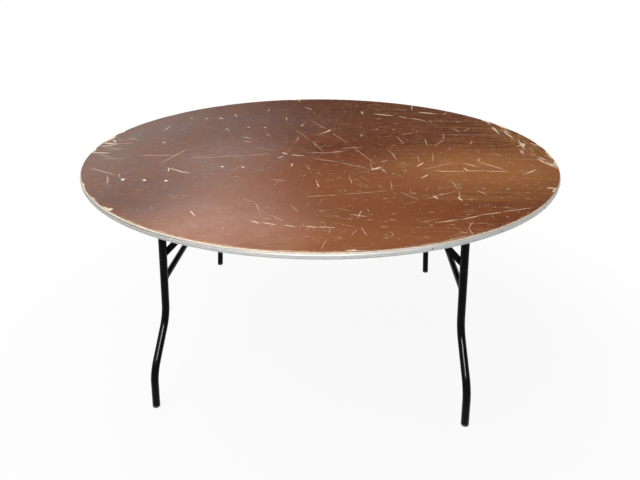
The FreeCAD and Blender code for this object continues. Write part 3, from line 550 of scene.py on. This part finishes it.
def cover(place, patches):
    """How near a place is to some oval patches: 1 in a patch's middle, a half on its edge, 0 well outside.
    A patch is its middle, its turn about the upright axis and half its length and width."""
    nearness = []
    for (x, y), turn, half_length, half_width in patches:
        local = place.node("Mapping", {"vector_type": "TEXTURE"}, {
            "Vector": place, "Location": (x, y, FACE_HEIGHT), "Rotation": (0.0, 0.0, turn),
            "Scale": (half_length * 2, half_width * 2, 1.0)})
        ball = {"gradient_type": "SPHERICAL"}
        nearness.append(local.node("TexGradient", ball, {"Vector": local}, "Fac"))
    return largest(*nearness)


def stroke_patches(strokes, share):
    """Strokes as patches whose half width is a share of the stroke's width."""
    for (x1, y1), (x2, y2), width in strokes:
        middle = ((x1 + x2) / 2, (y1 + y2) / 2)
        length = math.hypot(x2 - x1, y2 - y1)
        yield middle, math.atan2(y2 - y1, x2 - x1), length / 2 + width, width * share


def chip_patches(chips):
    """Chips as patches that lie across the rim."""
    for angle, spread, depth in chips:
        turn = math.radians(angle)
        yield (BOARD_RADIUS * math.cos(turn), BOARD_RADIUS * math.sin(turn)), turn, depth, spread


def dashes(place, turn, length, width, keep, reach):
    """Short scratches strewn at random, all lying one way: one in each cell, most of them left out."""
    cells = stretched(place, (length, width, 1.0), turn)
    settings = {"voronoi_dimensions": "2D", "feature": "F1"}
    away = cells.node("TexVoronoi", settings, {"Vector": cells, "Scale": 1.0}, "Distance")
    chance = away.node("SeparateColor", None, {0: away.also("Color")}, "Red")
    size = chance.also("Green") * chance.also("Green")
    near = (away / (size * reach + reach * 0.3)).smooth(1.0, 0.45)
    return near * chance.smooth(keep, 0.0)


def board_textures(place, finish):
    """Noise over the board: clouds, dirt and grit of several sizes, and streaks along the grain."""
    grain_size = (finish.grain_length, finish.grain_width, 1.0)
    return SimpleNamespace(
        coarse=noise(place, 2.2, 2.0),
        mottle=noise(place, 14.0, 5.0, 0.62),
        dirt=noise(stretched(place, DIRT_SIZE), 1.0, 6.0, 0.7),
        fine=noise(place, 130.0, 3.0, 0.6),
        grit=noise(place, 420.0, 2.0, 0.6),
        grain=noise(stretched(place, grain_size), 1.0, 5.0, 0.65),
        pores=noise(stretched(place, PORE_SIZE), 1.0, 3.0, 0.6))


def uneven(distance, skin, by_mottle, by_fine):
    """A distance on the board, made uneven by its noise."""
    return distance + (skin.mottle - 0.5) * by_mottle + (skin.fine - 0.5) * by_fine


def lacquer_fades_and_painted_light(place, along, skin, finish):
    """The brown of the face: grain and blotches, paler and darker places with painted light among them (a
    pool of light, glare and sheen), pale streaks at the right and dark pores.
    """
    grained = along.smooth(*GRAIN_SHOWS) * 0.75 + 0.15
    shade = (skin.grain - 0.5) * grained + (skin.mottle - 0.5) * 1.3
    shade = shade + (skin.dirt - 0.5) * 1.7 + (skin.coarse - 0.5) * 0.5 + 0.45
    brown = mix(shade.smooth(0.0, 1.0), finish.lacquer, finish.lacquer_dark)
    patchy = skin.mottle * 0.8 + skin.dirt * 0.9 - 0.15
    # Some of these patches are painted light: the pool of light at the front, and the glare and sheen at
    # the left.
    for middle, turn, half_length, half_width, colour, strength in FADES_AND_PAINTED_LIGHT:
        fade_and_light_patch = cover(place, ((middle, turn, half_length, half_width),)).smooth(0.05, 0.9)
        brown = mix(fade_and_light_patch * patchy * strength, brown, colour)
    streaks = skin.grain.smooth(0.50, 0.66) * (skin.mottle + skin.dirt).smooth(0.7, 1.2)
    brown = mix(streaks * along.smooth(*GOLD_SHOWS) * 0.65, brown, GOLDEN_STREAK)
    dark_pores = skin.pores.smooth(0.54, 0.74) * (skin.dirt + skin.coarse).smooth(0.85, 1.2)
    return mix(dark_pores * 0.5, brown, finish.lacquer_dark)


def worn_marks(place, along, skin):
    """Where the face is marked: scratches, scuffs, strewn scratches, specks, chips and the rubbed rim."""
    wander = place.node("TexNoise", None, {"Vector": place, "Scale": 24.0, "Detail": 4.0}, "Color")
    wander = place.node("VectorMath", {"operation": "MULTIPLY_ADD"}, {
        0: wander, 1: (WANDER * 2, WANDER * 2, 0.0), 2: (-WANDER, -WANDER, 0.0)})
    wavy = place.node("Mapping", {"vector_type": "POINT"}, {"Vector": place, "Location": wander})
    fray = (skin.fine - 0.5) * 0.7 + (skin.grit - 0.5) * 0.4

    deep = (cover(wavy, stroke_patches(DEEP_SCRATCHES, 0.54)) - fray * 0.8).smooth(0.47, 0.62)
    deep = deep * (skin.pores * 0.7 + skin.fine * 0.3 + skin.grit * 0.3).smooth(0.48, 0.62)
    thin = (cover(wavy, stroke_patches(FINE_SCRATCHES, 0.42)) - fray * 0.8).smooth(0.48, 0.68)
    thin = thin * (skin.fine * 0.8 + skin.grit * 0.4).smooth(0.38, 0.60)
    thin = thin * (0.45 + (skin.mottle + skin.dirt).smooth(0.75, 1.25) * 0.55)
    scuff = (cover(wavy, stroke_patches(SCUFFS, 0.45)) - fray * 0.55).smooth(0.42, 0.80)
    scuff = scuff * (skin.pores * 0.7 + skin.grit * 0.5).smooth(0.40, 0.72)

    strewn = largest(*(dashes(place, *layer) for layer in STREWN))
    strewn = strewn * (skin.fine + skin.mottle * 0.6).smooth(0.55, 0.85)
    strewn = strewn * (0.60 + along.smooth(*SCRATCHES_SHOW) * 0.40)
    specks = dashes(place, *SPECKS)

    ragged = fray * 0.9 + (skin.mottle - 0.5) * 0.8
    chipped = (cover(wavy, chip_patches(CHIPS)) - ragged).smooth(0.42, 0.58)
    streaks = stretched(place, RIM_STREAK_SIZE, RIM_RUB_TURN + RIM_STREAK_SLANT)
    rim_rub = noise(streaks, 1.0, 5.0, 0.72).smooth(0.53, 0.64)
    rim_rub = rim_rub * cover(place, (RIM_RUB,)).smooth(0.20, 0.60)
    rim_rub = rim_rub * (skin.fine + skin.dirt).smooth(0.8, 1.1)
    return SimpleNamespace(deep=deep, thin=thin, scuff=scuff, strewn=strewn, specks=specks, chipped=chipped,
                           rim_rub=rim_rub)


def board_side(height, skin, wood, brown, finish):
    """The board's edge: plies, most of them behind the band, and a worn arris under the lacquer."""
    layer = (height - UNDERSIDE) * (finish.ply_count / (FACE_HEIGHT - UNDERSIDE))
    ply = layer.math("PINGPONG", 1.0).smooth(0.35, 0.65)
    plies = mix(ply, PLY_PALE, PLY_DARK)
    plies = mix(skin.fine.smooth(0.45, 0.8) * 0.6, plies, PLY_GRIME)
    arris = mix(uneven(height, skin, *ARRIS_UNEVEN).smooth(*ARRIS_LACQUER), wood, brown)
    return mix(height.smooth(*ARRIS_WOOD), plies, arris)


def lacquered_board(finish):
    """Brown lacquered plywood: faded lacquer, marks worn to bare wood, plies at the edge, the underside."""
    material, shader, place = new_material("lacquered_board")
    along = place.node("SeparateXYZ", None, {0: place}, "X")
    height = along.also("Z")
    flat = place.node("CombineXYZ", None, {0: along, 1: along.also("Y"), 2: 0.0})
    radius = flat.node("VectorMath", {"operation": "LENGTH"}, {0: flat}, "Value")
    skin = board_textures(place, finish)
    brown = lacquer_fades_and_painted_light(place, along, skin, finish)
    marks = worn_marks(place, along, skin)

    rim = uneven(radius, skin, *RIM_UNEVEN)
    worn_rim = rim.smooth(*(BOARD_RADIUS - finish.rim_wear - depth for depth in RIM_BARE))
    on_face = height.smooth(*FACE_LACQUER)
    bare = largest(marks.deep, marks.thin, marks.strewn * 0.85, marks.specks * 0.75) * on_face
    bare = largest(bare, largest(marks.chipped, worn_rim) * on_face)
    wood = mix(skin.fine.smooth(0.4, 0.8), finish.bare_wood, WOOD_SHADE)
    face = mix(marks.scuff * on_face * 0.95, brown, finish.rubbed)
    face = mix(marks.rim_rub * on_face * 0.85, face, RUBBED_RIM)
    face = mix(bare, face, mix(bare.smooth(0.1, 0.6), SCRATCH_EDGE, wood))

    side = board_side(height, skin, wood, brown, finish)
    on_under = height.smooth(*UNDER_STAIN)
    under = mix((skin.grain * 0.9 + skin.mottle * 0.4).smooth(0.45, 0.9), UNDER_BROWN, UNDER_DARK)
    under = mix(marks.strewn * 0.14, under, finish.rubbed)
    colour = mix(on_face, mix(on_under, side, under), face)

    dull = 0.36 + (skin.mottle - 0.5) * 0.16 + marks.scuff * 0.16 + bare * 0.26 + (1 - on_face) * 0.16
    sheen = along.smooth(*SHEEN_SHOWS) * (skin.mottle * 0.6 + skin.coarse * 0.6) * (1 - bare)
    relief = bump(skin.grain * 0.05 + skin.pores * 0.1 + skin.mottle, BOARD_RELIEF, 0.5)
    feed(shader, base_color=colour, roughness=dull, normal=relief,
         coat_weight=sheen * finish.sheen + 0.08, coat_roughness=0.34)
    shader.inputs["Specular IOR Level"].default_value = 0.0
    return material


def dull_aluminium(finish):
    """Rolled aluminium strip, scuffed along its length, with dirt in its grooves, darker towards the left.
    """
    material, shader, place = new_material("dull_aluminium")
    across = place.node("SeparateXYZ", None, {0: place}, "Y")
    rightward = across.also("X")
    height = across.also("Z")
    along = across.math("ARCTAN2", rightward) * BAND_RADIUS
    unrolled = place.node("CombineXYZ", None, {0: along, 1: height, 2: 0.0})
    streaks = noise(stretched(unrolled, BAND_STREAK_SIZE), 1.0, 4.0, 0.65)
    scrapes = noise(stretched(unrolled, BAND_SCRAPE_SIZE, BAND_SCRAPE_TILT), 1.0, 4.0, 0.7)
    cloud = noise(place, 7.0, 4.0, 0.6)
    grit = noise(place, 300.0, 3.0, 0.6)
    metal = mix((streaks + cloud * 0.8).smooth(0.55, 1.25), finish.band, BAND_PALE)
    metal = mix(scrapes.smooth(0.60, 0.72) * 0.5, metal, BAND_SCRAPED)
    # Darker towards the left.
    metal = mix(rightward.smooth(*BAND_DARKENS_LEFT) * 0.5, metal, BAND_LEFT_DARKER)
    grooves = []
    for line, strength in BAND_GROOVES:
        away = (height - line + (cloud - 0.5) * GROOVE_UNEVEN).math("ABSOLUTE")
        grooves.append(away.smooth(*GROOVE_DIRT) * strength)
    dirt = largest(*grooves) * (grit * 0.5 + cloud).smooth(0.35, 0.75)
    dirt = dirt * (0.28 + rightward.smooth(*BAND_DIRT_SHOWS) * 0.62)
    feed(shader, base_color=mix(dirt, metal, finish.grime), metallic=0.35 - dirt * 0.3,
         roughness=0.42 + (streaks - 0.5) * 0.2 + scrapes * 0.12 + dirt * 0.3,
         normal=bump(streaks * 0.5 + scrapes.smooth(0.55, 0.75) * 0.5, BAND_RELIEF, 0.7))
    return material


def gloss_paint(finish):
    """Black gloss paint on tube: a little orange peel, dust and a few rubbed places."""
    material, shader, place = new_material("gloss_black_paint")
    peel = noise(place, 260.0, 2.0, 0.5)
    dust = noise(place, 38.0, 5.0, 0.65)
    cloud = noise(place, 6.0, 3.0, 0.6)
    marks = dashes(place, *PAINT_MARKS)
    rubbed = (dust + cloud * 0.6).smooth(0.98, 1.12)
    colour = mix(rubbed * 0.5, finish.paint, PAINT_RUBBED)
    colour = mix(marks * 0.25, colour, PAINT_MARKED)
    feed(shader, base_color=colour, roughness=0.13 + dust * 0.08 + rubbed * 0.2,
         normal=bump(peel * 0.5 + dust * 0.3, PAINT_RELIEF, 0.2))
    shader.inputs["Specular IOR Level"].default_value = 0.06
    return material


def zinc_plate(name, colour, worn, grimy_shaded):
    """Zinc plated steel: cloudy grey with duller patches, and darker towards the right with grime and
    painted shade.
    """
    material, shader, place = new_material(name)
    along = place.node("SeparateXYZ", None, {0: place}, "X")
    cloud = noise(place, 60.0, 4.0, 0.6)
    spangle = noise(place, 420.0, 3.0, 0.6)
    dull = (cloud + spangle * 0.4).smooth(0.55, 0.95)
    # Darker towards the right: grime and painted shade, as the heads at the left catch the light and those
    # at the right don't.
    tone = mix(along.smooth(*GRIME_AND_SHADE_SHOWS) * 0.9, mix(dull, colour, worn), grimy_shaded)
    feed(shader, base_color=tone, metallic=1.0 - dull * 0.35, roughness=0.30 + dull * 0.25,
         normal=bump(spangle, ZINC_RELIEF, 0.4))
    return material


def moulded_plastic(finish):
    """Black moulded plastic, scuffed grey where it rubs on the floor."""
    material, shader, place = new_material("moulded_plastic")
    height = place.node("SeparateXYZ", None, {0: place}, "Z")
    skin = noise(place, 700.0, 2.0, 0.5)
    scuffs = noise(place, 90.0, 4.0, 0.7)
    rubbed = height.smooth(*FOOT_RUBBED) * scuffs.smooth(0.4, 0.6)
    colour = mix(rubbed * 0.6, mix(scuffs, finish.plastic, PLASTIC_PALE), PLASTIC_RUBBED)
    feed(shader, base_color=colour, roughness=0.46 + scuffs * 0.18, normal=bump(skin, PLASTIC_RELIEF, 0.5))
    return material


def dress(material, slot):
    """Give a material to every node of one of the record's slots."""
    nodes = [node for node, own_slot in SLOT_OF.items() if own_slot == slot]
    if not nodes:
        raise RuntimeError(f"no node has the slot {slot}")
    for node in nodes:
        materials = NODES[node].data.materials
        materials.clear()
        materials.append(material)


# Pieces

def joint_place(name):
    """Where one of the record's joints turns."""
    joint = next(row for row in frame["record"]["behaviour"]["joints"] if row["name"] == name)
    return Vector(joint["pos_m"])


def half_height(node):
    """Half the height of a node's box, which is the radius of a level tube."""
    low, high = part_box(node)
    return (high.z - low.z) / 2


def add_bead(shape, path):
    """A weld bead along a closed path of points and radii: rippled round sections, bridged in turn."""
    sections = []
    for index, (point, radius) in enumerate(path):
        ahead = path[(index + 1) % len(path)][0] - path[index - 1][0]
        place = Matrix.Translation(point) @ ahead.to_track_quat("Z", "Y").to_matrix().to_4x4()
        swell = radius * (1 + RIPPLE * math.sin(index * RIPPLE_STEP))
        made = bmesh.ops.create_circle(shape, segments=BEAD_SIDES, radius=swell, matrix=place)
        sections.append({edge for vert in made["verts"] for edge in vert.link_edges})
    for index, section in enumerate(sections):
        bmesh.ops.bridge_loops(shape, edges=list(sections[index - 1] | section))


def add_welds(name, body, paths):
    """All the weld beads of one body, as one painted piece that rides on it."""
    shape = bmesh.new()
    for path in paths:
        add_bead(shape, path)
    bmesh.ops.recalc_face_normals(shape, faces=shape.faces)
    for face in shape.faces:
        face.smooth = True
    mesh = bpy.data.meshes.new(name)
    shape.to_mesh(mesh)
    shape.free()
    mesh.materials.append(bpy.data.materials["gloss_black_paint"])
    welds = bpy.data.objects.new(name, mesh)
    bpy.context.scene.collection.objects.link(welds)
    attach(welds, body)


def ring_turns():
    """The turns of the points on a weld's ring."""
    return [math.tau * step / RING_STEPS for step in range(RING_STEPS)]


def frame_weld_paths(side, bead):
    """Rings where the legs meet the pivot tube and the crossbar, which lie on both tubes at once."""
    hinge = joint_place(f"{side}_fold")
    root = joint_place(f"{side}_front_lower_stay_turn")
    down = Vector((root.x - hinge.x, 0.0, root.z - hinge.z)).normalized()
    rear = Vector((0.0, 1.0, 0.0))
    out = down.cross(rear)
    tube = half_height(f"{side}_pivot_tube")
    bar = half_height(f"{side}_crossbar")
    bar_middle = sum(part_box(f"{side}_crossbar"), Vector()) / 2
    for end, sign in (("front", -1), ("rear", 1)):
        low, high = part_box(f"{side}_{end}_leg")
        leg = rear * (high.y - tube if end == "front" else low.y + tube)
        upper, lower = [], []
        for turn in ring_turns():
            across, along = math.cos(turn), math.sin(turn)
            meet = out * across + rear * along + down * abs(along)
            # The saddle leaves little room on the outer side of the leg.
            upper.append((hinge + leg + meet * tube, bead * (1 - OUTER_THINNING * max(0.0, along * sign))))
            inward = -sign * math.sqrt(tube ** 2 - (bar * across) ** 2)
            lower.append((bar_middle + leg + (out * across + down * along) * bar + rear * inward, bead))
        yield upper
        yield lower


def brace_weld_paths(side, bead):
    """Rings where the upper stays meet the ends of the brace tube."""
    axis = joint_place(f"{side}_brace_turn")
    tube = half_height(f"{side}_brace_tube")
    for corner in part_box(f"{side}_brace_tube"):
        ring = []
        for turn in ring_turns():
            point = Vector((axis.x + tube * math.cos(turn), corner.y, axis.z + tube * math.sin(turn)))
            ring.append((point, bead))
        yield ring


class TABLE_OT_top(bpy.types.Operator):
    """Lacquer and wear on the plywood top"""
    bl_idname = "table.top"
    bl_label = "Lacquered top"

    def execute(self, context):
        dress(lacquered_board(context.scene.table_top_finish), "plywood")
        return {"FINISHED"}


class TABLE_OT_edge(bpy.types.Operator):
    """Dull aluminium on the edge band"""
    bl_idname = "table.edge"
    bl_label = "Edge band"

    def execute(self, context):
        dress(dull_aluminium(context.scene.table_metal_finish), "edge_metal")
        return {"FINISHED"}


class TABLE_OT_frames(bpy.types.Operator):
    """Black gloss paint on the leg frames and stays"""
    bl_idname = "table.frames"
    bl_label = "Leg frames"

    def execute(self, context):
        dress(gloss_paint(context.scene.table_metal_finish), "black_paint")
        return {"FINISHED"}


class TABLE_OT_fittings(bpy.types.Operator):
    """Zinc plate on the hinges and fasteners, plastic on the feet and plugs"""
    bl_idname = "table.fittings"
    bl_label = "Hinges, fasteners and feet"

    def execute(self, context):
        finish = context.scene.table_metal_finish
        dress(zinc_plate("zinc_plate", finish.zinc, HINGE_DULL, HINGE_GRIMY_SHADED), "zinc_steel")
        dress(zinc_plate("fastener_zinc", FASTENER_BRIGHT, FASTENER_DULL, FASTENER_GRIMY_SHADED), "fastener_steel")
        dress(moulded_plastic(finish), "black_plastic")
        return {"FINISHED"}


class TABLE_OT_welds(bpy.types.Operator):
    """Weld beads where the tubes and stays of the leg frames meet"""
    bl_idname = "table.welds"
    bl_label = "Welds"

    def execute(self, context):
        bead = context.scene.table_metal_finish.weld
        for side in SIDES:
            add_welds(f"{side}_frame_welds", f"{side}_frame", frame_weld_paths(side, bead))
            add_welds(f"{side}_brace_welds", f"{side}_brace", brace_weld_paths(side, bead * BRACE_BEAD))
        return {"FINISHED"}


class TABLE_OT_stage(bpy.types.Operator):
    """Floor, lamps, white surround and camera"""
    bl_idname = "table.stage"
    bl_label = "Stage"

    def execute(self, context):
        stage = context.scene.table_stage
        self.make_floor(stage)
        self.make_surround(context.scene, stage)
        self.make_lamps(stage)
        self.make_camera(context.scene, stage)
        context.scene.view_settings.view_transform = "Standard"
        return {"FINISHED"}

    def background_rays(self, start):
        """1 on rays that show the background: from the camera, mirrored by a surface or let through one."""
        seen = start.node("LightPath", output="Is Camera Ray")
        return largest(seen, seen.also("Is Glossy Ray"), seen.also("Is Transmission Ray"))

    def make_floor(self, stage):
        mesh = bpy.data.meshes.new("floor")
        shape = bmesh.new()
        bmesh.ops.create_circle(shape, cap_ends=True, segments=FLOOR_SIDES, radius=stage.floor_size)
        bmesh.ops.translate(shape, vec=(0.0, 0.0, -FLOOR_DROP), verts=shape.verts)
        shape.to_mesh(mesh)
        shape.free()
        floor = bpy.data.objects.new("floor", mesh)
        bpy.context.scene.collection.objects.link(floor)
        material = bpy.data.materials.new("pale_floor")
        material.use_nodes = True
        tree = material.node_tree
        tree.nodes.clear()
        start = Field(tree)
        place = start.node("TexCoord", output="Object")
        radius = place.node("VectorMath", {"operation": "LENGTH"}, {0: place}, "Value")
        # A little of the shadow under the table shows, and none further out.
        whiteness = SHADOW_WHITE + radius.smooth(*SHADOW_FADES) * (1 - SHADOW_WHITE)
        white = self.background_rays(start) * whiteness
        matt = start.node("BsdfDiffuse", None, {"Color": FLOOR_GREY})
        glow = start.node("Emission", None, {"Color": WHITE, "Strength": 1.0})
        lit = start.node("MixShader", None, {0: white, 1: matt, 2: glow})
        clear = start.node("BsdfTransparent")
        behind = start.node("NewGeometry", output="Backfacing")
        surface = start.node("MixShader", None, {0: behind, 1: lit, 2: clear})
        start.node("OutputMaterial", None, {0: surface}, output=None)
        mesh.materials.append(material)

    def make_surround(self, scene, stage):
        world = bpy.data.worlds.new("white_surround")
        scene.world = world
        world.use_nodes = True
        tree = world.node_tree
        tree.nodes.clear()
        start = Field(tree)
        soft = start.node("Background", None, {"Color": WHITE, "Strength": stage.surround})
        white = start.node("Background", None, {"Color": WHITE, "Strength": 1.0})
        both = start.node("MixShader", None, {0: self.background_rays(start), 1: soft, 2: white})
        start.node("OutputWorld", None, {0: both}, output=None)

    def make_lamps(self, stage):
        # Name, place, width, power, and whether the lamp lights all surfaces or only their gloss.
        lamps = (
            ("key_lamp", (-1.7, 1.5, 2.5), 2.4, stage.key_power, True),
            ("fill_lamp", (-1.5, -2.0, 2.5), 2.2, stage.fill_power, True),
            ("glint_lamp", (0.0, -2.2, 2.6), 0.7, stage.glint_power, False),
        )
        for name, place, width, power, lights_all in lamps:
            lamp = bpy.data.lights.new(name, "AREA")
            lamp.shape = "DISK"
            lamp.size = width
            lamp.energy = power
            holder = bpy.data.objects.new(name, lamp)
            holder.location = place
            holder.visible_diffuse = lights_all
            aim = LAMP_TARGET - Vector(place)
            holder.rotation_euler = aim.to_track_quat("-Z", "Y").to_euler()
            bpy.context.scene.collection.objects.link(holder)

    def make_camera(self, scene, stage):
        yaw, pitch, roll = stage.camera_yaw, stage.camera_pitch, stage.camera_roll
        level = Vector((math.sin(yaw), math.cos(yaw), 0.0))
        ahead = level * math.cos(pitch) - Vector((0.0, 0.0, math.sin(pitch)))
        right = ahead.cross(Vector((0.0, 0.0, 1.0))).normalized()
        up = right.cross(ahead)
        tilted_right = right * math.cos(roll) + up * math.sin(roll)
        tilted_up = up * math.cos(roll) - right * math.sin(roll)
        turn = Matrix((tilted_right, tilted_up, -ahead)).transposed()
        lens = bpy.data.cameras.new("camera")
        lens.lens = stage.focal_length
        lens.shift_x = stage.camera_shift
        camera = bpy.data.objects.new("camera", lens)
        camera.location = stage.camera_place
        camera.rotation_euler = turn.to_euler()
        scene.collection.objects.link(camera)
        scene.camera = camera


class TABLE_PT_panel(bpy.types.Panel):
    """Everything that finishes the table"""
    bl_idname = "TABLE_PT_panel"
    bl_label = "Round folding table"
    bl_space_type = "VIEW_3D"
    bl_region_type = "UI"
    bl_category = "Table"

    def draw(self, context):
        for group in GROUPS:
            settings = getattr(context.scene, group)
            for name in settings.bl_rna.properties.keys():
                if name not in ("rna_type", "name"):
                    self.layout.prop(settings, name)
        for operator in OPERATORS:
            self.layout.operator(operator.bl_idname)


OPERATORS = (
    TABLE_OT_top, TABLE_OT_edge, TABLE_OT_frames, TABLE_OT_welds, TABLE_OT_fittings, TABLE_OT_stage)
GROUPS = {"table_top_finish": TopFinish, "table_metal_finish": MetalFinish, "table_stage": StageSettings}


def register():
    for item in (*GROUPS.values(), *OPERATORS, TABLE_PT_panel):
        bpy.utils.register_class(item)
    for name, group in GROUPS.items():
        setattr(bpy.types.Scene, name, bpy.props.PointerProperty(type=group))


def unregister():
    for name in GROUPS:
        delattr(bpy.types.Scene, name)
    for item in reversed((*GROUPS.values(), *OPERATORS, TABLE_PT_panel)):
        bpy.utils.unregister_class(item)


def main():
    register()
    bpy.ops.table.top()
    bpy.ops.table.edge()
    bpy.ops.table.frames()
    bpy.ops.table.welds()
    bpy.ops.table.fittings()
    bpy.ops.table.stage()


if __name__ == "__main__":
    main()
